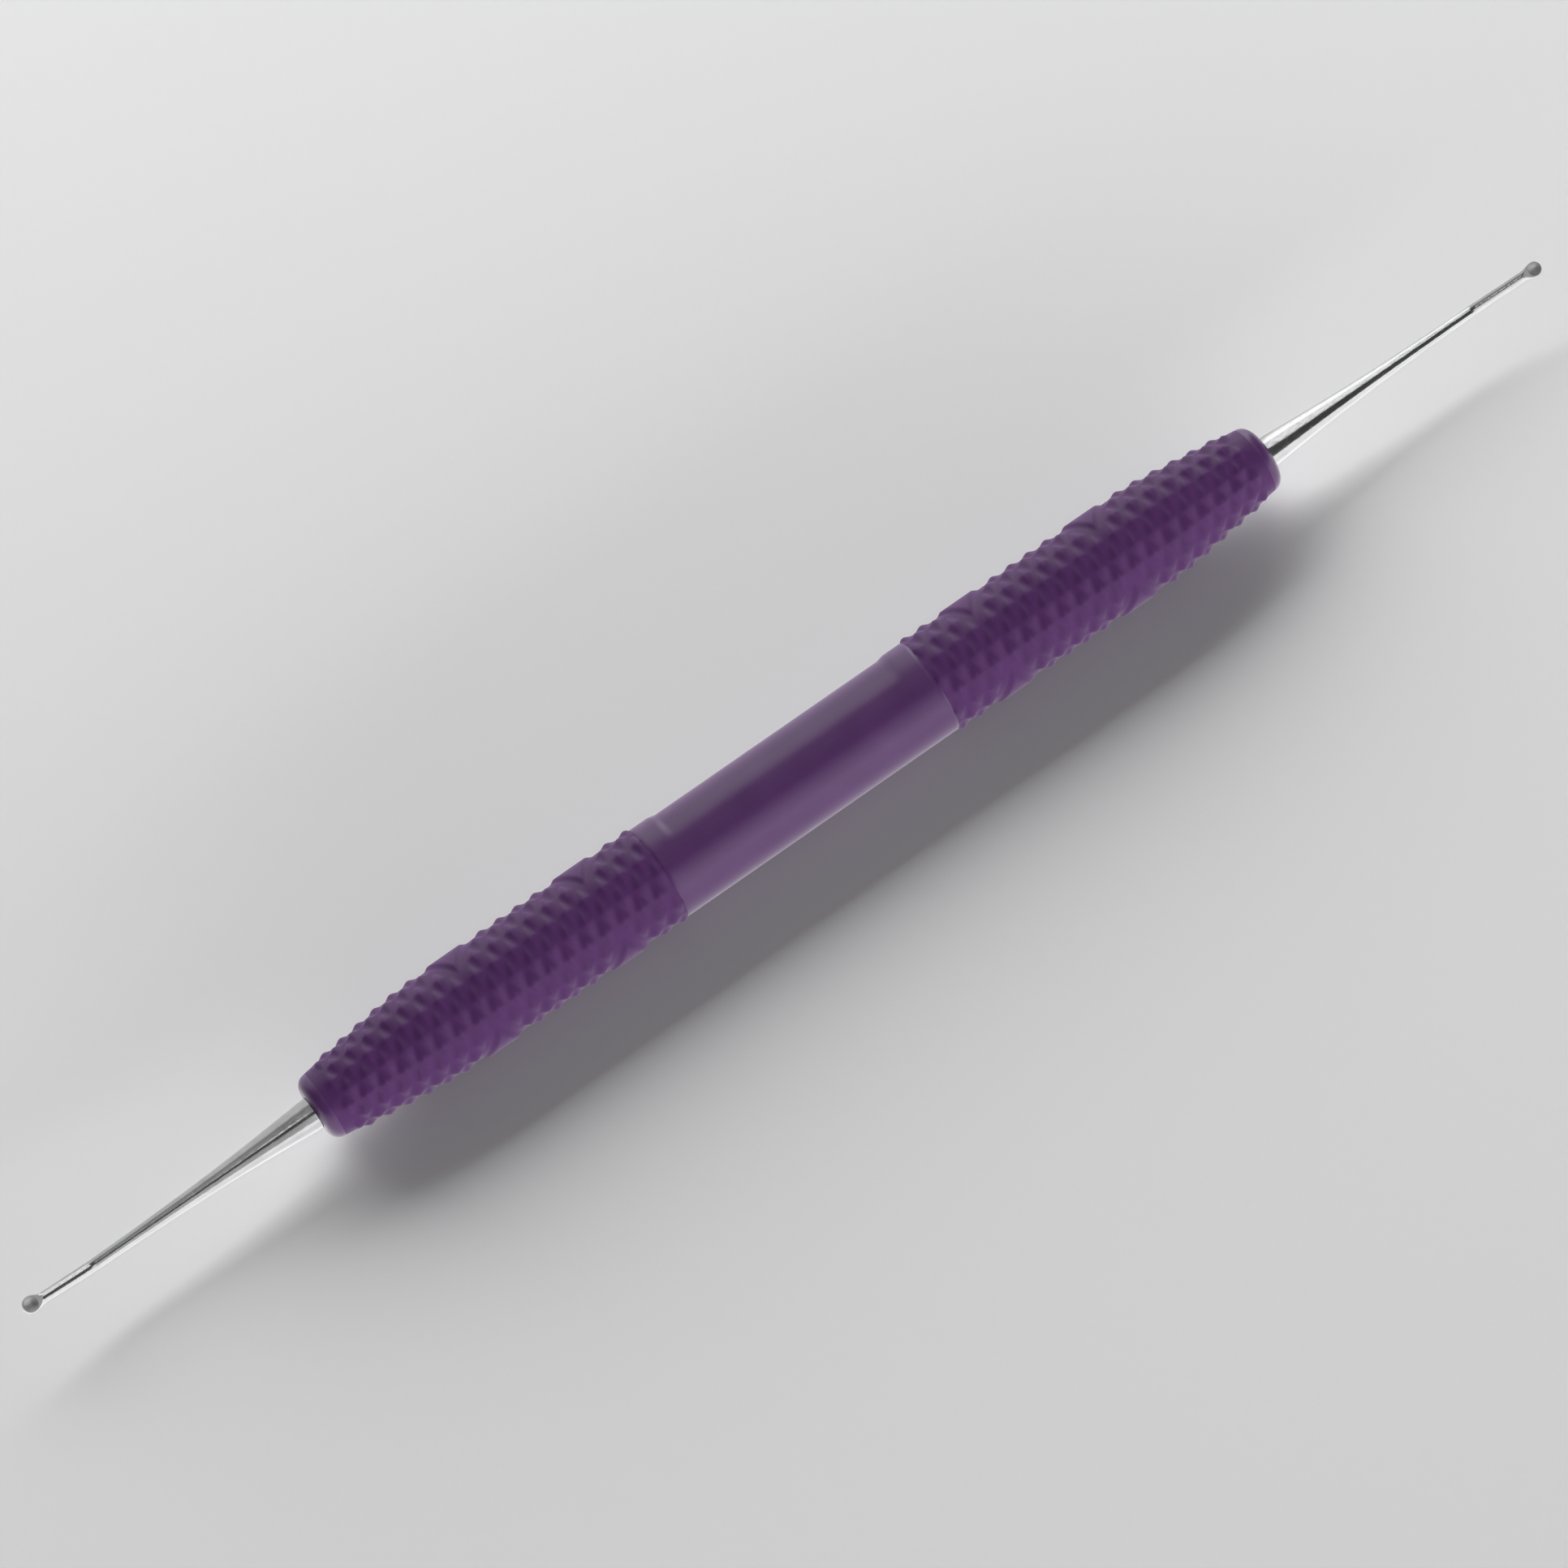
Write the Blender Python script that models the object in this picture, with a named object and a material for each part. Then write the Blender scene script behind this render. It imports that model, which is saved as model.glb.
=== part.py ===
"""Double-ended periodontal curette, lying level along X with its handle on the ground.

A resin handle, moulded in one piece, has a diamond-studded grip on either side of its
plain middle. A polished steel working end is seated in a blind bore in each end of it:
a tang, a flared shank, a short terminal shank at a slight angle, and a spoon.
Angles round the long axis are counted from straight up towards +Y.
"""
import math

import bmesh
import bpy
from mathutils import Matrix, Vector

# handle: the plain barrel
HANDLE_LENGTH = 0.1068
BODY_D = 0.0095
TAPER_START = 0.041
TAPER_SLOPE = 0.125
TAPER_BLEND = 0.0015
CAP_LENGTH = 0.0022
END_FILLET = 0.0012
END_FLAT_D = 0.0042

# handle: the grips, in rows of studs that alternate by half a pitch
GRIP_START = 0.0152
GRIP_PITCHES = 18
GRIP_SINK = 0.00005
STUD_ROWS = 8
STUD_RELIEF = 0.00034
STUD_FOOT = 0.44
STUDS_BEFORE_PLATEAU = 3
PLATEAU_SPACING = 7
PLATEAU_REACH = 1.0
PLATEAU_MOAT = 0.5

# handle: the bare recessed label panel
PANEL_LENGTH = 0.0267
PANEL_SPREAD = math.radians(114)
PANEL_DEPTH = 0.0003
PANEL_WALL = 0.00025

# working end: tang and seat
TANG_D = 0.0025
TANG_LENGTH = 0.012
TANG_CLEARANCE = 0.00015
TANG_CHAMFER = 0.0004
SEAT_GAP = 0.0001
BORE_SPARE = 0.0006

# working end: shank
SHANK_ROOT_D = 0.0032
SHANK_END_D = 0.00102
SHANK_LENGTH = 0.031
FLARE_LENGTH = 0.0096
FLARE_POWER = 1.2
TERMINAL_LENGTH = 0.0068
TERMINAL_BEND = math.radians(12)
BEND_RADIUS = 0.004
LEFT_ROLL = math.radians(9)
RIGHT_ROLL = math.radians(-5)

# working end: spoon
CUP_D = 0.0015
CUP_DEPTH = 0.00048
CUP_RIM = 0.000075
CUP_BELLY = 0.00018
CUP_DROP = 0.00003

# fineness of the round shapes
STEPS_PER_PITCH = 4
FILLET_STEPS = 4
SHANK_AROUND = 20
FLARE_STEPS = 12
BEND_STEPS = 3

# The lower side has two stud rows at equal angles from straight down, so the handle lies
# on both and doesn't roll; the plateaus stay clear of the ground.
ROW_STEP = math.pi / STUD_ROWS
PLATEAU_TURN = 2.5 * ROW_STEP
CREST_R = BODY_D / 2 - GRIP_SINK + STUD_RELIEF
AXIS_HEIGHT = CREST_R * math.cos(ROW_STEP / 2)
AROUND = 4 * STUD_ROWS
ANGLE_STEP = 2 * math.pi / AROUND

GRIP_END = HANDLE_LENGTH / 2 - CAP_LENGTH
PITCH = (GRIP_END - GRIP_START) / GRIP_PITCHES
FIRST_PLATEAU = STUDS_BEFORE_PLATEAU + 0.25
BORE_R = TANG_D / 2 + TANG_CLEARANCE
BORE_DEPTH = TANG_LENGTH + BORE_SPARE


def body_radius(x):
    """Radius of the plain barrel: straight in the middle, softly tapered to each end."""
    past = abs(x) - TAPER_START
    return BODY_D / 2 - TAPER_SLOPE * (past + math.hypot(past, TAPER_BLEND)) / 2


def grip_lift(x, turn):
    """Height over the grip's floor, 0 to 1, at x and at an angle from the plateau rows.

    Studs and plateaus are lozenges, so both are measured by a lozenge distance: pitches
    along the handle plus stud rows round it.
    """
    along = (abs(x) - GRIP_START) / PITCH - FIRST_PLATEAU
    around = turn / (2 * ROW_STEP)
    half_turn = STUD_ROWS / 2
    side = abs(around - half_turn * round(around / half_turn))
    for centre in (0, PLATEAU_SPACING):
        reach = abs(along - centre) + side
        if reach <= PLATEAU_REACH:
            return 1.0
        if reach < PLATEAU_REACH + PLATEAU_MOAT:
            return 0.0
    even = abs(along - round(along)) + abs(around - round(around))
    odd = abs(along - math.floor(along) - 0.5) + abs(around - math.floor(around) - 0.5)
    share = min(even, odd, STUD_FOOT) / STUD_FOOT
    return math.cos(share * math.pi / 2) ** 2


def handle_point(x, radius, turn):
    angle = PLATEAU_TURN + turn
    return Vector((x, radius * math.sin(angle), AXIS_HEIGHT + radius * math.cos(angle)))


def plain_ring(x, radius):
    return [handle_point(x, radius, step * ANGLE_STEP) for step in range(AROUND)]


def grip_ring(x):
    floor = body_radius(x) - GRIP_SINK
    points = []
    for step in range(AROUND):
        turn = step * ANGLE_STEP
        points.append(handle_point(x, floor + STUD_RELIEF * grip_lift(x, turn), turn))
    return points


def panel_ring(x, depth):
    """A ring whose points next to the panel's long walls are drawn onto them."""
    half_spread = PANEL_SPREAD / 2
    half_wall = PANEL_WALL / BODY_D
    inner = int(half_spread / ANGLE_STEP)
    points = []
    for step in range(AROUND):
        turn = (step if step <= AROUND / 2 else step - AROUND) * ANGLE_STEP
        radius = body_radius(x)
        if abs(turn) < (inner + 0.5) * ANGLE_STEP:
            radius -= depth
        if abs(step if turn >= 0 else AROUND - step) == inner:
            turn = math.copysign(half_spread - half_wall, turn)
        elif abs(step if turn >= 0 else AROUND - step) == inner + 1:
            turn = math.copysign(half_spread + half_wall, turn)
        points.append(handle_point(x, radius, turn))
    return points


def right_half_rings():
    """Rings from the panel's right end out to the face, and back into the bore."""
    rings = [panel_ring(PANEL_LENGTH / 2 - PANEL_WALL, PANEL_DEPTH)]
    rings.append(panel_ring(PANEL_LENGTH / 2, 0.0))
    rings.append(plain_ring(GRIP_START, body_radius(GRIP_START)))
    steps = GRIP_PITCHES * STEPS_PER_PITCH
    for step in range(1, steps):
        rings.append(grip_ring(GRIP_START + step * PITCH / STEPS_PER_PITCH))
    rings.append(plain_ring(GRIP_END, body_radius(GRIP_END)))
    face = HANDLE_LENGTH / 2
    shoulder = body_radius(face - END_FILLET)
    for step in range(FILLET_STEPS + 1):
        angle = step * math.pi / 2 / FILLET_STEPS
        x = face - END_FILLET * (1 - math.sin(angle))
        rings.append(plain_ring(x, END_FLAT_D / 2 + (shoulder - END_FLAT_D / 2) * math.cos(angle)))
    rings.append(plain_ring(face, BORE_R))
    rings.append(plain_ring(face - BORE_DEPTH, BORE_R))
    return rings


def mirrored(rings):
    return [[Vector((-p.x, p.y, p.z)) for p in ring] for ring in rings]


def skin(rings):
    """One closed skin: a face on the first ring is extruded through all the others."""
    mesh = bmesh.new()
    start = mesh.faces.new([mesh.verts.new(point) for point in rings[0]])
    front = start
    for ring in rings[1:]:
        grown = bmesh.ops.extrude_face_region(mesh, geom=[front])["geom"]
        if front is not start:
            bmesh.ops.delete(mesh, geom=[front], context="FACES_ONLY")
        front = next(item for item in grown if isinstance(item, bmesh.types.BMFace))
        for vert, point in zip(front.verts, ring):
            vert.co = point
    bmesh.ops.recalc_face_normals(mesh, faces=mesh.faces)
    return mesh


def split_grip(mesh):
    """Splits each four-sided face of a grip along its foot line, not across a stud."""

    def lift(vert):
        return math.hypot(vert.co.y, vert.co.z - AXIS_HEIGHT) - body_radius(vert.co.x)

    inside = [GRIP_START - 1e-6, GRIP_END + 1e-6]
    for face in list(mesh.faces):
        if len(face.verts) != 4:
            continue
        if not all(inside[0] < abs(vert.co.x) < inside[1] for vert in face.verts):
            continue
        if min(math.hypot(v.co.y, v.co.z - AXIS_HEIGHT) for v in face.verts) < 2 * BORE_R:
            continue
        a, b, c, d = face.verts
        first = (round(abs(lift(a) - lift(c)) * 1e5), lift(a) + lift(c))
        second = (round(abs(lift(b) - lift(d)) * 1e5), lift(b) + lift(d))
        ends = (a, c) if first < second else (b, d)
        bmesh.utils.face_split(face, *ends)


def flare_diameter(run):
    """Diameter of the shank at a distance from the handle's face."""
    return SHANK_END_D + (SHANK_ROOT_D - SHANK_END_D) * math.exp(-((run / FLARE_LENGTH) ** FLARE_POWER))


def shank_path():
    """Stations from the tang's tip to the spoon: along, up, lean and radius of each ring."""
    tang_r = TANG_D / 2
    bend_at = SHANK_LENGTH - TERMINAL_LENGTH * math.cos(TERMINAL_BEND)
    bend_from = bend_at - BEND_RADIUS * math.tan(TERMINAL_BEND / 2)
    stations = [(-TANG_LENGTH, 0.0, 0.0, tang_r - TANG_CHAMFER)]
    stations.append((-TANG_LENGTH + TANG_CHAMFER, 0.0, 0.0, tang_r))
    stations.append((SEAT_GAP, 0.0, 0.0, tang_r))
    for step in range(FLARE_STEPS):
        run = SEAT_GAP + (bend_from - SEAT_GAP) * step / FLARE_STEPS
        stations.append((run, 0.0, 0.0, flare_diameter(run) / 2))
    for step in range(BEND_STEPS + 1):
        lean = TERMINAL_BEND * step / BEND_STEPS
        run = bend_from + BEND_RADIUS * math.sin(lean)
        rise = BEND_RADIUS * (1 - math.cos(lean))
        stations.append((run, rise, lean, flare_diameter(run) / 2))
    return stations


def spoon_place():
    """Middle of the spoon on the terminal shank's axis: along and up."""
    return SHANK_LENGTH, TERMINAL_LENGTH * math.sin(TERMINAL_BEND)


def end_frame(side, roll):
    """Frame of a working end: its first axis runs outward, its second to the spoon's face."""
    turn = PLATEAU_TURN - math.pi / 2 + roll
    out = Vector((side, 0, 0))
    up = Vector((0, math.sin(turn), math.cos(turn)))
    frame = Matrix((out, up, out.cross(up))).transposed().to_4x4()
    frame.translation = Vector((side * HANDLE_LENGTH / 2, 0, AXIS_HEIGHT))
    return frame


def shank_ring(along, up, lean, radius):
    points = []
    for step in range(SHANK_AROUND):
        angle = 2 * math.pi * step / SHANK_AROUND
        across = radius * math.cos(angle)
        points.append(
            Vector((along - across * math.sin(lean), up + across * math.cos(lean), radius * math.sin(angle)))
        )
    return points


def neck_stations():
    """The last rings: the shank narrows and rises as it runs into the spoon's back."""
    along, up = spoon_place()
    outward = Vector((math.cos(TERMINAL_BEND), math.sin(TERMINAL_BEND)))
    upward = Vector((-outward.y, outward.x))
    stations = []
    for back, raised, share in ((CUP_D, 0.0, 1.0), (CUP_D / 2, 0.0, 1.0), (0.0, 0.0001, 0.68)):
        place = Vector((along, up)) - outward * back + upward * raised
        stations.append((place.x, place.y, TERMINAL_BEND, share * SHANK_END_D / 2))
    return stations


def spoon_frame(frame):
    """Frame of the spoon: third axis to its face, origin in the plane of its rim."""
    along, up = spoon_place()
    rise = SHANK_END_D / 2 - CUP_DROP
    lean = Matrix.Rotation(TERMINAL_BEND, 4, "Z")
    stand = Matrix.Rotation(-math.pi / 2, 4, "X")
    return frame @ Matrix.Translation((along, up, 0)) @ lean @ Matrix.Translation((0, rise, 0)) @ stand


def ball(radius, centre_height, cut_flat):
    """A ball on the spoon's axis, cut flat along the rim plane if it is the cup's body."""
    mesh = bmesh.new()
    bmesh.ops.create_uvsphere(mesh, u_segments=24, v_segments=12, radius=radius)
    bmesh.ops.translate(mesh, verts=mesh.verts, vec=(0, 0, centre_height))
    if cut_flat:
        everything = list(mesh.verts) + list(mesh.edges) + list(mesh.faces)
        bmesh.ops.bisect_plane(
            mesh, geom=everything, plane_co=(0, 0, 0), plane_no=(0, 0, 1), clear_outer=True
        )
        open_edges = [edge for edge in mesh.edges if edge.is_boundary]
        bmesh.ops.edgenet_fill(mesh, edges=open_edges)
        bmesh.ops.recalc_face_normals(mesh, faces=mesh.faces)
    return mesh


def add_object(name, mesh, matrix, material=None, sharp=math.radians(40)):
    data = bpy.data.meshes.new(name)
    mesh.to_mesh(data)
    mesh.free()
    data.shade_smooth()
    data.set_sharp_from_angle(angle=sharp)
    item = bpy.data.objects.new(name, data)
    item.matrix_world = matrix
    bpy.context.scene.collection.objects.link(item)
    if material:
        data.materials.append(material)
    return item


def add_cutter(name, mesh, matrix):
    item = add_object(name, mesh, matrix)
    item.hide_render = True
    item.display_type = "WIRE"
    return item


def add_boolean(item, cutter, operation):
    modifier = item.modifiers.new(cutter.name, "BOOLEAN")
    modifier.operation = operation
    modifier.solver = "EXACT"
    modifier.object = cutter


def principled(name, colour, roughness, metallic):
    material = bpy.data.materials.new(name)
    material.use_nodes = True
    shader = material.node_tree.nodes["Principled BSDF"]
    shader.inputs["Base Color"].default_value = (*colour, 1.0)
    shader.inputs["Roughness"].default_value = roughness
    shader.inputs["Metallic"].default_value = metallic
    return material


def make_handle():
    right = right_half_rings()
    rings = list(reversed(mirrored(right))) + right
    mesh = skin(rings)
    split_grip(mesh)
    resin = principled("purple resin", (0.085, 0.034, 0.115), 0.38, 0.0)
    add_object("handle", mesh, Matrix.Identity(4), resin)


def make_working_end(name, side, roll):
    frame = end_frame(side, roll)
    steel = principled(name + " steel", (0.62, 0.62, 0.63), 0.18, 1.0)
    rings = [shank_ring(*station) for station in shank_path() + neck_stations()]
    shank = add_object(name, skin(rings), frame, steel)

    place = spoon_frame(frame)
    rim_r = CUP_D / 2
    body = ball(math.hypot(rim_r, CUP_BELLY), -CUP_BELLY, True)
    add_boolean(shank, add_cutter(name + "_cup", body, place), "UNION")

    mouth_r = rim_r - CUP_RIM
    hollow_r = (mouth_r**2 + CUP_DEPTH**2) / (2 * CUP_DEPTH)
    hollow = ball(hollow_r, hollow_r - CUP_DEPTH, False)
    add_boolean(shank, add_cutter(name + "_hollow", hollow, place), "DIFFERENCE")


for leftover in list(bpy.data.objects):
    bpy.data.objects.remove(leftover, do_unlink=True)

make_handle()
make_working_end("working_end_left", -1, LEFT_ROLL)
make_working_end("working_end_right", 1, RIGHT_ROLL)
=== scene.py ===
import math
from collections import namedtuple
from types import SimpleNamespace

import bpy
from mathutils import Matrix, Vector


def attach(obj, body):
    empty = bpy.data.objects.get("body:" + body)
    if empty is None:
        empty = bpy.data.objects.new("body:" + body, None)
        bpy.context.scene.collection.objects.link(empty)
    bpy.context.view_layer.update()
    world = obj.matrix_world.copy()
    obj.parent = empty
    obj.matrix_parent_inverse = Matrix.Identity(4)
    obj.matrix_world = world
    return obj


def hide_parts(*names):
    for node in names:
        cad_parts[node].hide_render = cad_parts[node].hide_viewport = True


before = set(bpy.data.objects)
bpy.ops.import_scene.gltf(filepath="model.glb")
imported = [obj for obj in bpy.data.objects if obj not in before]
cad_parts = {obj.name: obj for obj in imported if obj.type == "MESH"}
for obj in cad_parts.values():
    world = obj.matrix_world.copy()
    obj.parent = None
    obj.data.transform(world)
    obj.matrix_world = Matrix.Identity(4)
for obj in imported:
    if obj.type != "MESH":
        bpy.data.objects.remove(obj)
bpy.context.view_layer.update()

# Sizes of the handle, in metres

HANDLE_LENGTH = 0.1068
BODY_D = 0.0095
TAPER_START = 0.041
TAPER_SLOPE = 0.125
TAPER_BLEND = 0.0015
END_FILLET = 0.0012
END_FLAT_D = 0.0042
END_RING_R = 0.0018

TANG_R = 0.00125
TANG_LENGTH = 0.012
TANG_CHAMFER = 0.0004
TANG_CLEARANCE = 0.00015
BORE_R = TANG_R + TANG_CLEARANCE
BORE_DEPTH = TANG_LENGTH + 0.0006
BORE_CHAMFER = 0.00012
BORE_EDGE = 0.00004

GRIP_START = 0.0152
GRIP_END = 0.0512
GRIP_PITCHES = 18
PITCH = (GRIP_END - GRIP_START) / GRIP_PITCHES
GRIP_SINK = 0.00005
GRIP_STEP = 0.00006
GRIP_RUN_IN = 0.0004
CAP_RUN_OUT = 0.0005

# A stud's height and the length in which it rises at a grip's edge are in metres. The other sizes
# of studs and plateaus count pitches, along the handle and round it.
STUD_RELIEF = 0.0003
STUD_START = 0.00017
STUD_ROWS = 8
STUD_FOOT = 0.44
STUD_POWER = 1.2
FIRST_PLATEAU = 3.25
PLATEAU_SPACING = 7
PLATEAU_TOP = 0.85
PLATEAU_FOOT = 1.18
PLATEAU_MOAT = 1.5

PANEL_LENGTH = 0.0267
PANEL_SPREAD = math.radians(114)
PANEL_DEPTH = 0.00018
PANEL_END_WALL = 0.001
PANEL_SIDE_WALL = 0.0024

# The handle lies on the studs of the solids that it stands for, whose crests have this radius.
CREST_R = 0.00504
ROW_STEP = math.pi / STUD_ROWS
PLATEAU_TURN = 2.5 * ROW_STEP
AXIS_HEIGHT = CREST_R * math.cos(ROW_STEP / 2)

# What lies farther than this from the axis is the handle's outside, and the rest its end faces and bores.
OUTSIDE_R = 0.0025

# Sizes of the working ends, in metres

ROOT_ROUND = 0.00004
TANG_FLARE_LENGTH = 0.0002
TANG_FLARE = 0.00006
TERMINAL_LENGTH = 0.0068
TERMINAL_BEND = math.radians(12)
BEND_RADIUS = 0.004
CUP_DEPTH = 0.00048
CUP_RIM = 0.00006
CUP_BELLY = 0.00018
CUP_RISE = 0.0003
CUP_RISE_START = 0.00125
CUP_RISE_LENGTH = 0.00105
FACE_START = 0.0013
FACE_BLEND = 0.0005
PRESS_START = 0.00135
RIM_CATCH = 0.000014
NECK_POWER = 1.8

# The two working ends are ground by hand and differ a little.
LEFT_END = SimpleNamespace(
    side=-1,
    roll=math.radians(9),
    length=0.03093,
    root_d=0.00317,
    thin_d=0.00096,
    flare_length=0.01084,
    flare_power=1.21,
    cup_d=0.00158,
    neck_length=0.00142,
)
RIGHT_END = SimpleNamespace(
    side=1,
    roll=math.radians(-5),
    length=0.03059,
    root_d=0.00298,
    thin_d=0.00088,
    flare_length=0.01035,
    flare_power=1.27,
    cup_d=0.00138,
    neck_length=0.0013,
)

# How finely the meshes are divided

STEPS_AROUND = 192
STEPS_PER_PITCH = 12
PLAIN_STEPS = 8
WALL_STEPS = 6
FILLET_STEPS = 12
END_STEPS_AROUND = 96
ROOT_STEPS = 5
SHANK_STEPS = 36
BEND_STEPS = 8
TERMINAL_RUNS = (-0.0055, -0.0045, -0.0036, -0.0028, -0.0022, -0.0018, -0.0016)
NECK_STEPS = 48
BALL_STEPS = 26


# Small helpers for modelling

def add_primitive(operator, name, **settings):
    """A fresh primitive, alone in the selection, with its name on the object and its mesh."""
    bpy.ops.object.select_all(action="DESELECT")
    operator(**settings)
    piece = bpy.context.object
    piece.name = name
    piece.data.name = name
    return piece


def select_only(piece):
    bpy.ops.object.select_all(action="DESELECT")
    bpy.context.view_layer.objects.active = piece
    piece.select_set(True)


def edit(piece):
    select_only(piece)
    bpy.ops.object.mode_set(mode="EDIT")


def leave_edit():
    bpy.ops.object.mode_set(mode="OBJECT")


def apply_modifier(piece, modifier):
    select_only(piece)
    bpy.ops.object.modifier_apply(modifier=modifier.name)


def shade(piece, degrees):
    select_only(piece)
    bpy.ops.object.shade_smooth_by_angle(angle=math.radians(degrees))


def settle(piece, place):
    """Puts a piece built at the origin in its place, and keeps that place in its mesh."""
    piece.matrix_world = place
    select_only(piece)
    bpy.ops.object.transform_apply(location=True, rotation=True, scale=True)


def smooth_step(value):
    value = min(max(value, 0.0), 1.0)
    return value * value * (3 - 2 * value)


# The resin handle

def body_radius(x):
    """Radius of the plain barrel: straight in the middle, softly tapered to each end."""
    past = abs(x) - TAPER_START
    return BODY_D / 2 - TAPER_SLOPE * (past + math.hypot(past, TAPER_BLEND)) / 2


def half_outline():
    """Outline of the right half, from the middle out to the face and back into the bore."""
    wall_start = PANEL_LENGTH / 2 - PANEL_END_WALL
    floor_end = wall_start - 0.2 * PANEL_END_WALL
    places = [floor_end * step / PLAIN_STEPS for step in range(PLAIN_STEPS + 1)]
    places += [wall_start + PANEL_END_WALL * step / WALL_STEPS for step in range(WALL_STEPS + 1)]
    places += [GRIP_START - GRIP_RUN_IN, GRIP_START - GRIP_STEP]
    outline = [(x, body_radius(x)) for x in places]

    steps = GRIP_PITCHES * STEPS_PER_PITCH
    for step in range(steps + 1):
        x = GRIP_START + (GRIP_END - GRIP_START) * step / steps
        outline.append((x, body_radius(x) - GRIP_SINK * smooth_step((GRIP_END - x) / PITCH)))
    outline.append((GRIP_END + CAP_RUN_OUT, body_radius(GRIP_END + CAP_RUN_OUT)))

    face = HANDLE_LENGTH / 2
    flat = END_FLAT_D / 2
    shoulder = body_radius(face - END_FILLET)
    for step in range(FILLET_STEPS + 1):
        angle = step * math.pi / 2 / FILLET_STEPS
        x = face - END_FILLET * (1 - math.sin(angle))
        outline.append((x, flat + (shoulder - flat) * math.cos(angle)))
    outline += [(face, END_RING_R), (face, BORE_R + BORE_CHAMFER)]
    outline += [(face - BORE_EDGE, BORE_R + BORE_EDGE), (face - BORE_CHAMFER, BORE_R)]
    outline += [(face - BORE_DEPTH, BORE_R), (face - BORE_DEPTH, 0.0)]
    return outline


def grip_lift(x, turn):
    """Height over the grip's floor, 0 to 1: a lattice of studs with a few broad plateaus."""
    along = (abs(x) - GRIP_START) / PITCH - FIRST_PLATEAU
    around = turn / (2 * ROW_STEP)
    half_turn = STUD_ROWS / 2
    side = abs(around - half_turn * round(around / half_turn))
    for centre in (0, PLATEAU_SPACING):
        reach = abs(along - centre) + side
        if reach < PLATEAU_MOAT:
            return smooth_step((PLATEAU_FOOT - reach) / (PLATEAU_FOOT - PLATEAU_TOP))
    even = stud_distance(abs(along - round(along)), abs(around - round(around)))
    odd_along = abs(along - math.floor(along) - 0.5)
    odd_around = abs(around - math.floor(around) - 0.5)
    odd = stud_distance(odd_along, odd_around)
    share = min(even, odd, STUD_FOOT) / STUD_FOOT
    return math.cos(share * math.pi / 2) ** 2


def stud_distance(along, around):
    """Distance from a stud's crest in pitches. What is equally far off is a lozenge with bowed sides."""
    return (along**STUD_POWER + around**STUD_POWER) ** (1 / STUD_POWER)


def panel_share(x, turn):
    """1 on the floor of the bare label panel, 0 off it, with soft walls between."""
    arc = BODY_D / 2 * (PANEL_SPREAD / 2 - abs(turn))
    along = smooth_step((PANEL_LENGTH / 2 - abs(x)) / PANEL_END_WALL)
    return along * smooth_step(arc / PANEL_SIDE_WALL + 0.5)


def is_outside(place):
    return math.hypot(place.y, place.z - AXIS_HEIGHT) > OUTSIDE_R


def turn_barrel():
    """The handle without its studs and its panel, turned from the outline like a lathe's work."""
    half = half_outline()
    outline = [(-x, radius) for x, radius in reversed(half[1:])] + half
    first = (outline[0][0], 0.0, AXIS_HEIGHT + outline[0][1])
    handle = add_primitive(bpy.ops.mesh.primitive_plane_add, "resin_handle", size=0.001)
    edit(handle)
    bpy.ops.mesh.select_all(action="SELECT")
    bpy.ops.mesh.merge(type="CENTER")
    bpy.ops.transform.translate(value=first)
    for (x, radius), (next_x, next_radius) in zip(outline, outline[1:]):
        move = {"value": (next_x - x, 0.0, next_radius - radius)}
        bpy.ops.mesh.extrude_region_move(TRANSFORM_OT_translate=move)
    bpy.ops.mesh.select_all(action="SELECT")
    bpy.ops.mesh.spin(
        steps=STEPS_AROUND, angle=2 * math.pi, center=(0, 0, AXIS_HEIGHT), axis=(1, 0, 0)
    )
    bpy.ops.mesh.select_all(action="SELECT")
    bpy.ops.mesh.remove_doubles(threshold=1e-6)
    bpy.ops.mesh.normals_make_consistent(inside=False)
    leave_edit()
    return handle


def make_handle():
    """The barrel with its studs raised and its panel sunk, by how much each vertex group says."""
    handle = turn_barrel()
    studs = handle.vertex_groups.new(name="studs")
    panel = handle.vertex_groups.new(name="panel")
    near = 1e-6
    raised = []
    for vertex in handle.data.vertices:
        x, y, z = vertex.co
        turn = math.atan2(y, z - AXIS_HEIGHT) - PLATEAU_TURN
        turn = (turn + math.pi) % (2 * math.pi) - math.pi
        on_outside = is_outside(vertex.co)
        lift = 0.0
        if on_outside and GRIP_START - near < abs(x) < GRIP_END + near:
            start = min(abs(x) - GRIP_START, GRIP_END - abs(x)) / STUD_START
            lift = grip_lift(x, turn) * min(max(start, 0.0), 1.0)
            studs.add([vertex.index], lift, "REPLACE")
        elif on_outside and abs(x) < GRIP_START:
            panel.add([vertex.index], panel_share(x, turn), "REPLACE")
        raised.append(lift)
    attribute = handle.data.attributes.new("raised", "FLOAT", "POINT")
    attribute.data.foreach_set("value", raised)

    for group, strength in (("studs", STUD_RELIEF), ("panel", -PANEL_DEPTH)):
        push = handle.modifiers.new(group, "DISPLACE")
        push.vertex_group = group
        push.strength = strength
        push.mid_level = 0.0
        apply_modifier(handle, push)
    for face in handle.data.polygons:
        matt = is_outside(face.center) and GRIP_START < abs(face.center.x) < HANDLE_LENGTH / 2 - END_FILLET
        face.material_index = 1 if matt else 0
    shade(handle, 75)
    return handle


# The steel working ends
# A ring of a working end lies at a place along the shank and up from its axis, leans, and has a radius.

Ring = namedtuple("Ring", "along up lean radius")


def flare_radius(end, run):
    """Radius of the shank at a distance from the handle's face."""
    flare = math.exp(-((run / end.flare_length) ** end.flare_power))
    return (end.thin_d + (end.root_d - end.thin_d) * flare) / 2


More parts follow.
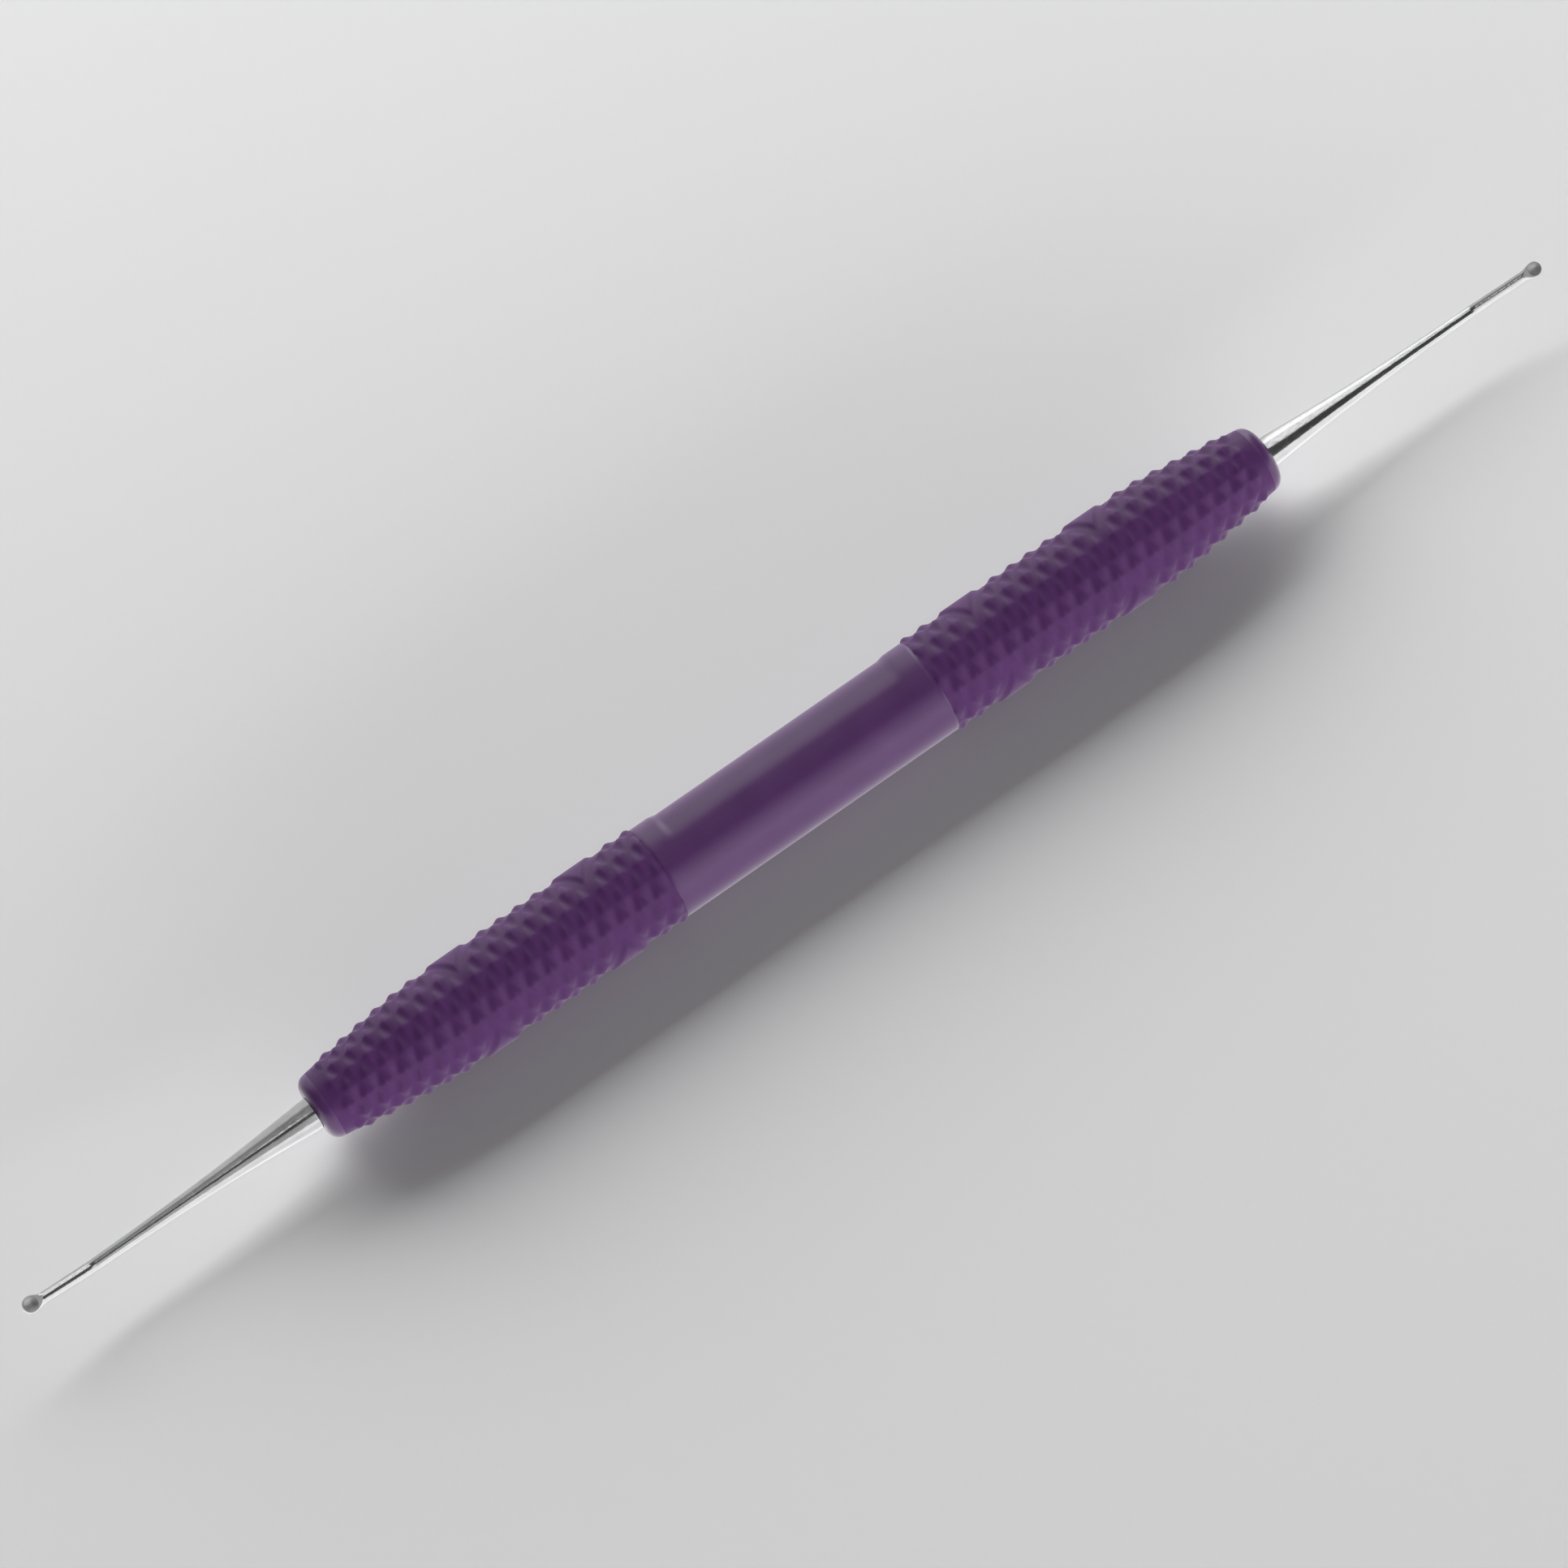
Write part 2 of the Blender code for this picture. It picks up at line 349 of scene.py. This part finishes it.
def ball_radius(end):
    return math.hypot(end.cup_d / 2, CUP_BELLY)


def spoon_radius(end, run):
    """Radius of the neck and the ball of the spoon, run being counted from the ball's middle."""
    ball = ball_radius(end)
    if run >= 0:
        return math.sqrt(max(ball**2 - run**2, 0.0))
    neck = flare_radius(end, end.length + min(run, -end.neck_length))
    share = min(-run / end.neck_length, 1.0)
    return neck + (ball - neck) * max(math.cos(share * math.pi / 2), 0.0) ** NECK_POWER


def spoon_rise(run):
    """How far the ball's middle lies over the terminal shank's axis."""
    return CUP_RISE * smooth_step((run + CUP_RISE_START) / CUP_RISE_LENGTH)


def straight_rings(end, bend_from):
    """Rings of the tang, the root's small round and the shank as far as its bend."""
    rings = [Ring(-TANG_LENGTH, 0, 0, TANG_R - TANG_CHAMFER)]
    rings += [Ring(-TANG_LENGTH + TANG_CHAMFER, 0, 0, TANG_R), Ring(-TANG_FLARE_LENGTH, 0, 0, TANG_R)]
    rings += [Ring(0, 0, 0, TANG_R + TANG_FLARE)]
    start = 2 * ROOT_ROUND
    root = flare_radius(end, start)
    for step in range(ROOT_STEPS + 1):
        bow = step * math.pi / 2 / ROOT_STEPS
        run = ROOT_ROUND * (1 - math.cos(bow))
        rings.append(Ring(run, 0, 0, root - ROOT_ROUND * (1 - math.sin(bow))))
    for step in range(SHANK_STEPS):
        run = start + (bend_from - start) * step / SHANK_STEPS
        rings.append(Ring(run, 0, 0, flare_radius(end, run)))
    return rings


def working_end_rings(end):
    """All rings of a working end, from the tang's tip to the spoon's."""
    bend_at = end.length - TERMINAL_LENGTH * math.cos(TERMINAL_BEND)
    bend_from = bend_at - BEND_RADIUS * math.tan(TERMINAL_BEND / 2)
    rings = straight_rings(end, bend_from)
    for step in range(BEND_STEPS + 1):
        lean = TERMINAL_BEND * step / BEND_STEPS
        run = bend_from + BEND_RADIUS * math.sin(lean)
        rings.append(Ring(run, BEND_RADIUS * (1 - math.cos(lean)), lean, flare_radius(end, run)))

    middle = Vector((end.length, TERMINAL_LENGTH * math.sin(TERMINAL_BEND)))
    outward = Vector((math.cos(TERMINAL_BEND), math.sin(TERMINAL_BEND)))
    upward = Vector((-outward.y, outward.x))
    quarter = math.pi / 2 / BALL_STEPS
    runs = list(TERMINAL_RUNS)
    runs += [-end.neck_length * (1 - step / NECK_STEPS) for step in range(NECK_STEPS)]
    runs += [ball_radius(end) * math.sin(step * quarter) for step in range(BALL_STEPS)]
    for run in runs:
        place = middle + outward * run + upward * spoon_rise(run)
        rings.append(Ring(place.x, place.y, TERMINAL_BEND, spoon_radius(end, run)))
    return rings


def press_spoon(end, run, across, height):
    """Where a point of the ball and neck goes when the flat face and the bowl are pressed in.

    The last value is 1 for a point that ends up inside the face or in the bowl."""
    rim = CUP_RISE + CUP_BELLY
    neck = flare_radius(end, end.length - end.neck_length)
    top = rim + (neck - rim) * (1 - smooth_step((run + FACE_START) / FACE_BLEND))
    centre = spoon_rise(run)
    radius = spoon_radius(end, run)
    if radius <= top - centre:
        return run, across, height, 0.0
    edge = math.asin((top - centre) / radius)
    angle = math.atan2(height - centre, abs(across))
    if abs(angle - edge) <= math.pi / END_STEPS_AROUND:
        return run, math.copysign(radius * math.cos(edge), across), top, 0.0
    if angle < edge:
        return run, across, height, 0.0
    mouth = end.cup_d / 2 - CUP_RIM
    reach = math.hypot(run, across)
    if abs(reach - mouth) < RIM_CATCH:
        return run * mouth / reach, across * mouth / reach, top, 1.0
    if reach > mouth:
        return run, across, top, 1.0
    hollow = (mouth**2 + CUP_DEPTH**2) / (2 * CUP_DEPTH)
    return run, across, rim + hollow - CUP_DEPTH - math.sqrt(hollow**2 - reach**2), 1.0


def ring_place(end):
    """Frame of a working end: third axis outward, first axis to the spoon's face."""
    turn = PLATEAU_TURN - math.pi / 2 + end.roll
    out = Vector((end.side, 0, 0))
    up = Vector((0, math.sin(turn), math.cos(turn)))
    place = Matrix((up, out.cross(up), out)).transposed().to_4x4()
    place.translation = Vector((end.side * HANDLE_LENGTH / 2, 0, AXIS_HEIGHT))
    return place


def draw_out(name, rings):
    """A closed bar drawn out of its first ring, each new ring moved, scaled and leant."""
    first = rings[0]
    bar = add_primitive(
        bpy.ops.mesh.primitive_circle_add,
        name,
        vertices=END_STEPS_AROUND,
        radius=first.radius,
        fill_type="NGON",
        location=(first.up, 0, first.along),
    )
    bpy.ops.object.transform_apply(location=True, rotation=True, scale=True)
    edit(bar)
    bpy.ops.mesh.select_all(action="SELECT")
    for last, ring in zip(rings, rings[1:]):
        move = {"value": (ring.up - last.up, 0.0, ring.along - last.along)}
        bpy.ops.mesh.extrude_region_move(TRANSFORM_OT_translate=move)
        centre = (ring.up, 0.0, ring.along)
        grow = ring.radius / last.radius
        bpy.ops.transform.resize(value=(grow, grow, grow), center_override=centre)
        if ring.lean != last.lean:
            lean = last.lean - ring.lean
            bpy.ops.transform.rotate(value=lean, orient_axis="Y", center_override=centre)
    bpy.ops.mesh.merge(type="CENTER")
    bpy.ops.mesh.select_all(action="SELECT")
    bpy.ops.mesh.normals_make_consistent(inside=False)
    leave_edit()
    return bar


def make_working_end(name, end):
    steel = draw_out(name, working_end_rings(end))
    middle = Vector((TERMINAL_LENGTH * math.sin(TERMINAL_BEND), 0, end.length))
    outward = Vector((math.sin(TERMINAL_BEND), 0, math.cos(TERMINAL_BEND)))
    upward = Vector((outward.z, 0, -outward.x))
    satin = []
    for vertex in steel.data.vertices:
        offset = vertex.co - middle
        run = offset.dot(outward)
        pressed = 0.0
        if run > -PRESS_START:
            run, across, height, pressed = press_spoon(end, run, offset.y, offset.dot(upward))
            vertex.co = middle + outward * run + Vector((0, across, 0)) + upward * height
        satin.append(pressed)
    ground = steel.data.attributes.new("ground", "FLOAT", "POINT")
    ground.data.foreach_set("value", satin)
    settle(steel, ring_place(end))
    shade(steel, 40)
    return steel


# Finishes

def wire(tree, source, target):
    tree.links.new(source, target)


def new_group(name, inputs, output):
    """A node group with a vector and some plain values going in and one value coming out."""
    group = bpy.data.node_groups.new(name, "ShaderNodeTree")
    group.interface.new_socket(name="Vector", in_out="INPUT", socket_type="NodeSocketVector")
    for label, value in inputs.items():
        socket = group.interface.new_socket(name=label, in_out="INPUT", socket_type="NodeSocketFloat")
        socket.default_value = value
    group.interface.new_socket(name=output, in_out="OUTPUT", socket_type="NodeSocketFloat")
    enter = group.nodes.new("NodeGroupInput")
    leave = group.nodes.new("NodeGroupOutput")
    return group, enter, leave


def make_variation():
    """Slow and fine variation over a surface, as a value round 0.5."""
    group, enter, leave = new_group("soft variation", {"Broad": 0.3, "Fine": 6.0}, "Value")
    broad = group.nodes.new("ShaderNodeTexNoise")
    fine = group.nodes.new("ShaderNodeTexNoise")
    broad.inputs["Detail"].default_value = 3.0
    fine.inputs["Detail"].default_value = 2.0
    mix = group.nodes.new("ShaderNodeMix")
    mix.inputs["Factor"].default_value = 0.35
    for noise, scale in ((broad, "Broad"), (fine, "Fine")):
        wire(group, enter.outputs["Vector"], noise.inputs["Vector"])
        wire(group, enter.outputs[scale], noise.inputs["Scale"])
    wire(group, broad.outputs["Fac"], mix.inputs["A"])
    wire(group, fine.outputs["Fac"], mix.inputs["B"])
    wire(group, mix.outputs["Result"], leave.inputs["Value"])
    return group


def make_hairlines():
    """Fine scratches that run mostly along the piece, as a mask."""
    group, enter, leave = new_group("hairline scratches", {"Density": 9.0, "Cut": 0.62}, "Mask")
    stretch = group.nodes.new("ShaderNodeMapping")
    stretch.inputs["Scale"].default_value = (0.045, 1.0, 1.0)
    stretch.inputs["Rotation"].default_value = (0.0, 0.0, 0.06)
    lines = group.nodes.new("ShaderNodeTexNoise")
    lines.inputs["Detail"].default_value = 4.0
    lines.inputs["Roughness"].default_value = 0.65
    clip = group.nodes.new("ShaderNodeMapRange")
    clip.inputs["To Max"].default_value = 1.0
    top = group.nodes.new("ShaderNodeMath")
    top.operation = "ADD"
    top.inputs[1].default_value = 0.12
    wire(group, enter.outputs["Vector"], stretch.inputs["Vector"])
    wire(group, stretch.outputs["Vector"], lines.inputs["Vector"])
    wire(group, enter.outputs["Density"], lines.inputs["Scale"])
    wire(group, enter.outputs["Cut"], top.inputs[0])
    wire(group, lines.outputs["Fac"], clip.inputs["Value"])
    wire(group, enter.outputs["Cut"], clip.inputs["From Min"])
    wire(group, top.outputs["Value"], clip.inputs["From Max"])
    wire(group, clip.outputs["Result"], leave.inputs["Mask"])
    return group


def place_group(tree, group, label, vector, **values):
    node = tree.nodes.new("ShaderNodeGroup")
    node.node_tree = group
    node.label = label
    wire(tree, vector, node.inputs["Vector"])
    for name, value in values.items():
        node.inputs[name].default_value = value
    return node


def millimetres(tree):
    """Object coordinates in millimetres."""
    place = tree.nodes.new("ShaderNodeTexCoord")
    scale = tree.nodes.new("ShaderNodeVectorMath")
    scale.operation = "SCALE"
    scale.inputs["Scale"].default_value = 1000.0
    wire(tree, place.outputs["Object"], scale.inputs[0])
    return scale.outputs["Vector"]


def read_attribute(tree, name):
    node = tree.nodes.new("ShaderNodeAttribute")
    node.attribute_name = name
    return node.outputs["Fac"]


def mix_colour(tree, factor, first, second):
    """A mix of two colours, each of them a fixed colour or another node's output."""
    mix = tree.nodes.new("ShaderNodeMix")
    mix.data_type = "RGBA"
    wire(tree, factor, mix.inputs["Factor"])
    # The colour sockets share their names with the plain ones, so they are reached by number.
    for socket, value in ((mix.inputs[6], first), (mix.inputs[7], second)):
        if isinstance(value, tuple):
            socket.default_value = (*value, 1.0)
        else:
            wire(tree, value, socket)
    return mix.outputs[2]


def map_range(tree, source, low, high, to_low, to_high):
    node = tree.nodes.new("ShaderNodeMapRange")
    node.inputs["From Min"].default_value = low
    node.inputs["From Max"].default_value = high
    node.inputs["To Min"].default_value = to_low
    node.inputs["To Max"].default_value = to_high
    wire(tree, source, node.inputs["Value"])
    return node.outputs["Result"]


def scale_mask(tree, mask, most):
    """A mask from 0 to 1 as a value from 0 to most."""
    return map_range(tree, mask, 0.0, 1.0, 0.0, most)


def add_values(tree, first, second):
    node = tree.nodes.new("ShaderNodeMath")
    node.operation = "ADD"
    wire(tree, first, node.inputs[0])
    wire(tree, second, node.inputs[1])
    return node.outputs["Value"]


def add_bump(tree, shader, height, strength, distance):
    bump = tree.nodes.new("ShaderNodeBump")
    bump.inputs["Strength"].default_value = strength
    bump.inputs["Distance"].default_value = distance
    wire(tree, height, bump.inputs["Height"])
    wire(tree, bump.outputs["Normal"], shader.inputs["Normal"])


def new_finish(name):
    material = bpy.data.materials.new(name)
    material.use_nodes = True
    tree = material.node_tree
    return material, tree, tree.nodes["Principled BSDF"]


def make_resin(name, variation, hairlines, gloss, dull_from, dull_to):
    """Purple resin: a little paler on the crests of the studs, partly wear and partly painted light
    standing in for the shade between studs, with faint handling marks.
    """
    material, tree, shader = new_finish(name)
    place = millimetres(tree)
    cloud = place_group(tree, variation, "flow of the moulding", place, Broad=0.22, Fine=5.0)
    lines = place_group(tree, hairlines, "handling marks", place, Density=7.0)

    tone = map_range(tree, cloud.outputs["Value"], 0.35, 0.65, 0.0, 1.0)
    base = mix_colour(tree, tone, (0.056, 0.0185, 0.079), (0.066, 0.022, 0.092))
    # Painted light: the crests of the studs are made paler, partly for wear and partly to stand in for the
    # shade that falls between the studs.
    crest = map_range(tree, read_attribute(tree, "raised"), 0.7, 1.0, 0.0, 0.12)
    crest_wear_and_painted_light = mix_colour(tree, crest, base, (0.1, 0.045, 0.135))
    scratch = scale_mask(tree, lines.outputs["Mask"], 0.22)
    colour = mix_colour(tree, scratch, crest_wear_and_painted_light, (0.13, 0.075, 0.165))
    wire(tree, colour, shader.inputs["Base Color"])

    dull = map_range(tree, cloud.outputs["Value"], 0.3, 0.7, dull_from, dull_to)
    scuffed = scale_mask(tree, lines.outputs["Mask"], 0.12)
    wire(tree, add_values(tree, dull, scuffed), shader.inputs["Roughness"])
    shader.inputs["Specular IOR Level"].default_value = gloss
    shader.inputs["IOR"].default_value = 1.5

    grain = tree.nodes.new("ShaderNodeTexNoise")
    grain.inputs["Scale"].default_value = 14.0
    grain.inputs["Detail"].default_value = 3.0
    wire(tree, place, grain.inputs["Vector"])
    cut = scale_mask(tree, lines.outputs["Mask"], -0.6)
    add_bump(tree, shader, add_values(tree, grain.outputs["Fac"], cut), 0.12, 0.00002)
    return material


def make_steel(variation, hairlines):
    """Polished stainless steel with fine hairlines, and a satin face where the spoon is ground."""
    material, tree, shader = new_finish("polished stainless steel")
    place = millimetres(tree)
    cloud = place_group(tree, variation, "polish", place, Broad=0.5, Fine=12.0)
    lines = place_group(tree, hairlines, "polishing lines", place, Density=22.0, Cut=0.52)
    ground = read_attribute(tree, "ground")

    tone = map_range(tree, cloud.outputs["Value"], 0.35, 0.65, 0.0, 1.0)
    base = mix_colour(tree, tone, (0.47, 0.47, 0.475), (0.55, 0.55, 0.555))
    scratch = scale_mask(tree, lines.outputs["Mask"], 0.3)
    wire(tree, mix_colour(tree, scratch, base, (0.5, 0.5, 0.51)), shader.inputs["Base Color"])
    dull = map_range(tree, cloud.outputs["Value"], 0.3, 0.7, 0.1, 0.17)
    scuffed = scale_mask(tree, lines.outputs["Mask"], 0.12)
    satin = scale_mask(tree, ground, 0.36)
    wire(tree, add_values(tree, add_values(tree, dull, scuffed), satin), shader.inputs["Roughness"])
    wire(tree, map_range(tree, ground, 0.0, 1.0, 1.0, 0.72), shader.inputs["Metallic"])
    add_bump(tree, shader, lines.outputs["Mask"], 0.1, 0.00001)
    return material


def make_paper():
    """White paper that glows for gloss rays only, more in front of the instrument than behind it: a
    painted reflection that gloss mirrors.
    """
    material, tree, shader = new_finish("white studio paper")
    shader.inputs["Base Color"].default_value = (0.63, 0.63, 0.635, 1.0)
    shader.inputs["Roughness"].default_value = 0.9
    shader.inputs["Emission Color"].default_value = (1.0, 1.0, 1.0, 1.0)
    split = tree.nodes.new("ShaderNodeSeparateXYZ")
    wire(tree, millimetres(tree), split.inputs["Vector"])
    # Painted reflection: the paper glows for glossy rays only, 0.9 in front of the instrument falling to
    # 0.1 behind it.
    front = map_range(tree, split.outputs["Y"], 0.0, 12.0, 0.9, 0.1)
    ray = tree.nodes.new("ShaderNodeLightPath")
    glow = tree.nodes.new("ShaderNodeMath")
    glow.operation = "MULTIPLY"
    wire(tree, ray.outputs["Is Glossy Ray"], glow.inputs[0])
    wire(tree, front, glow.inputs[1])
    wire(tree, glow.outputs["Value"], shader.inputs["Emission Strength"])
    return material


# Studio

def add_lamp(name, width, height, radiance, place):
    """A rectangular lamp that faces straight down until it is turned."""
    lamp = bpy.data.lights.new(name, "AREA")
    lamp.shape = "RECTANGLE"
    lamp.size = width
    lamp.size_y = height
    lamp.energy = radiance * math.pi * width * height
    holder = bpy.data.objects.new(name, lamp)
    bpy.context.scene.collection.objects.link(holder)
    holder.location = place
    return holder


def add_panel(name, y, low, high, left, right, radiance):
    """An upright panel at y that faces the instrument, between two elevations and two places along X."""
    bottom = AXIS_HEIGHT + abs(y) * math.tan(math.radians(low))
    top = AXIS_HEIGHT + abs(y) * math.tan(math.radians(high))
    middle = ((left + right) / 2, y, (top + bottom) / 2)
    holder = add_lamp(name, right - left, top - bottom, radiance, middle)
    holder.rotation_euler = Vector((0, -y, 0)).to_track_quat("-Z", "Y").to_euler()
    return holder


def add_fill(*settings):
    """A panel that lights what is matt and that gloss doesn't mirror."""
    add_panel(*settings).visible_glossy = False


def add_reflection(*settings):
    """A panel that only gloss mirrors."""
    add_panel(*settings).visible_diffuse = False


def add_ceiling(name, left, right, front, back, radiance):
    """A level panel overhead that only gloss mirrors, between two places along X and along Y."""
    middle = ((left + right) / 2, (front + back) / 2, 1.2)
    add_lamp(name, right - left, back - front, radiance, middle).visible_diffuse = False


def add_glint(name, x):
    """A far lamp high in front and off to one side, that only gloss mirrors, for one bent steel tip."""
    distance = 3.0
    elevation = math.radians(68)
    place = (x, -distance * math.cos(elevation), AXIS_HEIGHT + distance * math.sin(elevation))
    holder = add_lamp(name, 0.1, 0.5, 3.0, place)
    toward = Vector((0, 0, AXIS_HEIGHT)) - holder.location
    holder.rotation_euler = toward.to_track_quat("-Z", "Y").to_euler()
    holder.visible_diffuse = False


def make_studio(paper):
    floor_place = (0, 0, -0.000005)
    floor = add_primitive(bpy.ops.mesh.primitive_plane_add, "studio_floor", size=4.0, location=floor_place)
    settle(floor, floor.matrix_world.copy())
    floor.data.materials.append(paper)
    # Name, y, lowest and highest elevation, left and right end along X, radiance
    add_fill("front_fill", -0.75, 0, 15, -0.8, 1.1, 10.8)
    add_fill("back_fill", 0.75, 5, 48, -0.4, 1.2, 7.0)
    add_reflection("front_reflection", -0.65, 0, 42, -0.04, 0.13, 1.15)
    add_reflection("front_dim_reflection", -0.65, 0, 42, -0.16, -0.04, 0.5)
    add_reflection("right_reflection", -0.65, 0, 14, 0.45, 1.5, 2.5)
    add_reflection("back_reflection", 0.65, 0, 58, -0.7, 0.7, 0.7)
    add_reflection("right_back_reflection", 0.64, 0, 58, 0.25, 0.65, 1.3)
    add_reflection("upper_reflection", 0.65, 58, 74, -0.7, 0.36, 0.3)
    # Name, left and right end along X, front and back end along Y, radiance
    add_ceiling("left_ceiling", -0.2, -0.02, -0.62, 0.3, 0.4)
    add_ceiling("right_ceiling", 0.37, 0.6, -0.37, 0.75, 1.6)
    add_glint("left_glint", x=1.265)
    add_glint("right_glint", x=-0.38)
    world = bpy.data.worlds.new("studio_air")
    world.use_nodes = True
    world.node_tree.nodes["Background"].inputs["Color"].default_value = (1.0, 1.0, 1.0, 1.0)
    world.node_tree.nodes["Background"].inputs["Strength"].default_value = 0.08
    bpy.context.scene.world = world


# Where the photograph shows the instrument: the picture's width, its scale at the handle's middle,
# and how far right and up of the picture's middle that lies, in pixels.
PICTURE_WIDTH_PX = 1932
PX_PER_METRE = 13483.0
MIDDLE_RIGHT_PX = 12.46
MIDDLE_UP_PX = 5.59
CAMERA_DISTANCE = 0.7448
CAMERA_TILT = math.radians(8.2)
CAMERA_ROLL = math.radians(34.705)


def make_camera():
    """Looks down on the instrument, rolled so that it rises to the right across the frame."""
    flat = math.cos(CAMERA_TILT)
    along = Vector((flat * math.cos(CAMERA_ROLL), flat * math.sin(CAMERA_ROLL), -math.sin(CAMERA_TILT)))
    across = Vector((-math.sin(CAMERA_ROLL), math.cos(CAMERA_ROLL), 0.0))
    in_view = Matrix((along, across, along.cross(across))).transposed()
    x_axis = Vector((1, 0, 0))
    plateau = Vector((0, math.sin(PLATEAU_TURN), math.cos(PLATEAU_TURN)))
    in_world = Matrix((x_axis, plateau, x_axis.cross(plateau))).transposed()
    turn = in_world @ in_view.transposed()
    middle = Vector((MIDDLE_RIGHT_PX / PX_PER_METRE, MIDDLE_UP_PX / PX_PER_METRE, -CAMERA_DISTANCE))

    lens = bpy.data.cameras.new("studio_camera")
    lens.sensor_width = 36.0
    lens.lens = lens.sensor_width * PX_PER_METRE * CAMERA_DISTANCE / PICTURE_WIDTH_PX
    lens.clip_start = 0.01
    camera = bpy.data.objects.new("studio_camera", lens)
    bpy.context.scene.collection.objects.link(camera)
    place = turn.to_4x4()
    place.translation = Vector((0, 0, AXIS_HEIGHT)) - turn @ middle
    camera.matrix_world = place
    bpy.context.scene.camera = camera


variation = make_variation()
hairlines = make_hairlines()
resin_details = (variation, hairlines)
bare_resin = make_resin("purple moulded resin", *resin_details, gloss=0.5, dull_from=0.27, dull_to=0.35)
grip_resin = make_resin(
    "matt purple resin of the grips", *resin_details, gloss=0.16, dull_from=0.42, dull_to=0.5
)
steel = make_steel(variation, hairlines)

handle = make_handle()
handle.data.materials.append(bare_resin)
handle.data.materials.append(grip_resin)
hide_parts("handle")
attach(handle, "root")

for name, end in (("left", LEFT_END), ("right", RIGHT_END)):
    tip = make_working_end("steel_end_" + name, end)
    tip.data.materials.append(steel)
    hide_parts("working_end_" + name)
    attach(tip, "root")

make_studio(make_paper())
make_camera()
bpy.context.scene.view_settings.view_transform = "Standard"
